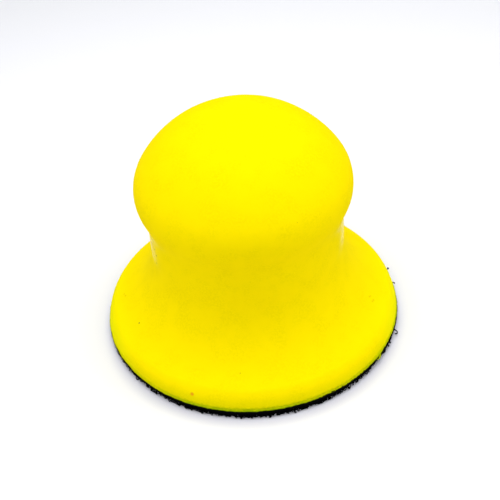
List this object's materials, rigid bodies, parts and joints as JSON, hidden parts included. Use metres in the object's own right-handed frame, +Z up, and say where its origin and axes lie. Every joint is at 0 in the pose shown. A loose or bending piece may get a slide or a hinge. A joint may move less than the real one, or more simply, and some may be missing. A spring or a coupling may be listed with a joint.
{
  "type": "hand sanding pad",
  "caption": "Mushroom-shaped foam hand pad with a round knob, a waisted neck and a flared flange, with a hook face below for round abrasive discs.",
  "frame": {"origin": "centre of the hook face, on the plane of the hook tips where the pad rests", "axes": "+Z up the grip's axis of revolution, from the hook face to the top of the knob; X and Y are any two directions across the round pad"},
  "size_m": [0.08, 0.08, 0.065],
  "materials": {
    "foam_skin": "dense satin skin of self-skinned polyurethane foam, fine orange-peel texture",
    "foam_core": "soft closed-cell polyurethane foam",
    "glue_film": "cured contact adhesive, translucent amber",
    "resin_coat": "thin flexible acrylic coating on the back of the tape",
    "ground_cloth": "tightly woven nylon multifilament, hot-cut edge",
    "hook_nylon": "drawn nylon monofilament, semi-gloss"
  },
  "bodies": {
    "root": {"foam_skin": "foam_skin", "foam_core": "foam_core", "glue_film": "glue_film", "resin_coat": "resin_coat", "ground_cloth": "ground_cloth", "hook_pile": "hook_nylon"}
  },
  "joints": []
}
